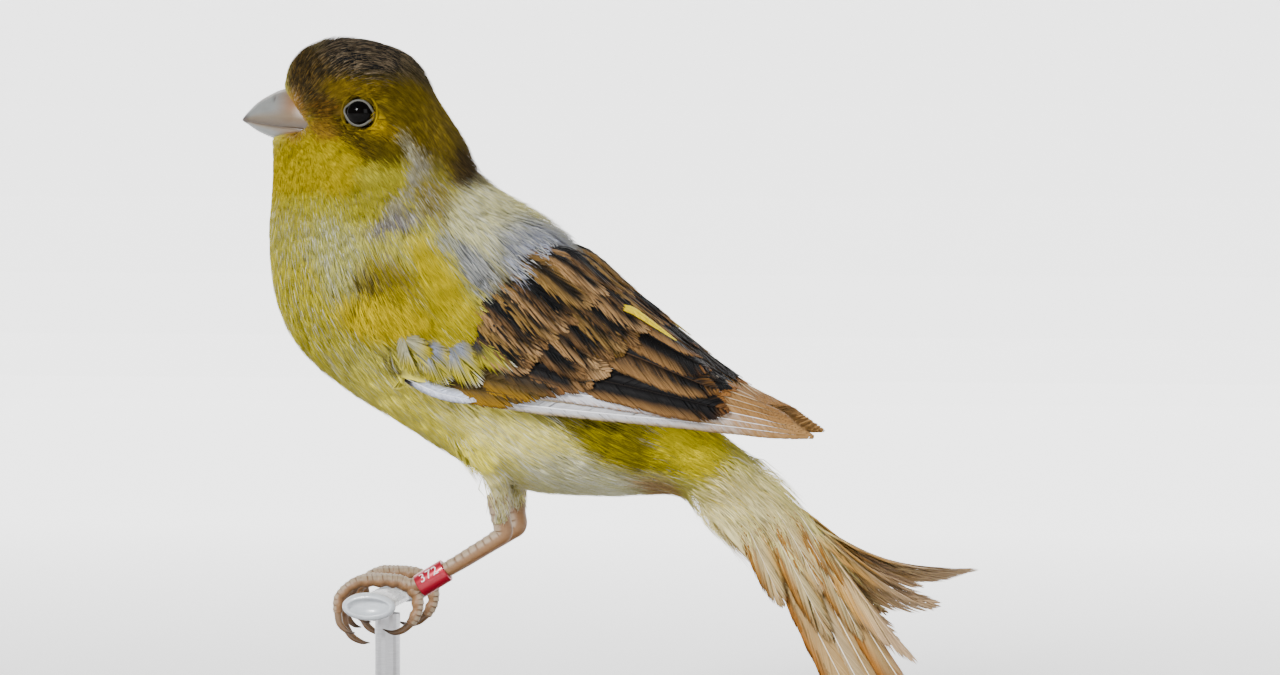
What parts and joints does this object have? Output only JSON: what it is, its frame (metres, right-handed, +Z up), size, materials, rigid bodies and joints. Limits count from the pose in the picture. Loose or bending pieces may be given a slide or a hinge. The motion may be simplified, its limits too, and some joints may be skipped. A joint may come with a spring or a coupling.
{
  "type": "canary",
  "caption": "Life-size canary model with variegated yellow and brown plumage, standing on a short cut length of rail on a plain display stand.",
  "frame": {"origin": "middle of the flat underside of the stand's base", "axes": "+Z up, the bird's bill toward -X and its tail toward +X, its left side toward -Y"},
  "size_m": [0.1343, 0.07, 0.1202],
  "materials": {
    "plumage": "soft small feathers, yellow with olive and grey-brown markings",
    "flight_feather": "overlapping vanes, brown-buff with black centres and white outer edges",
    "tail_feather": "overlapping cream-buff vanes with yellow edges",
    "bill_horn": "satin pinkish horn with a dark tip",
    "eye": "glossy black",
    "leg_scale": "tan-pink scaled skin with paler scutes and horn claws",
    "ring_red": "red anodised leg ring with plain pale numbers",
    "rail_plastic": "grey clear-looking plastic rail",
    "rod_steel": "brushed round rod",
    "base_wood": "dark stained wood with a satin finish"
  },
  "bodies": {
    "root": {"head": "plumage", "neck": "plumage", "torso": "plumage", "thigh_left": "plumage", "thigh_right": "plumage", "wing_left": "flight_feather", "wing_right": "flight_feather", "tail": "tail_feather", "bill_upper": "bill_horn", "bill_lower": "bill_horn", "eye_left": "eye", "eye_right": "eye", "shank_left": "leg_scale", "shank_right": "leg_scale", "foot_left": "leg_scale", "foot_right": "leg_scale", "leg_ring": "ring_red", "stand_perch": "rail_plastic", "stand_rod": "rod_steel", "stand_base": "base_wood"}
  },
  "joints": []
}
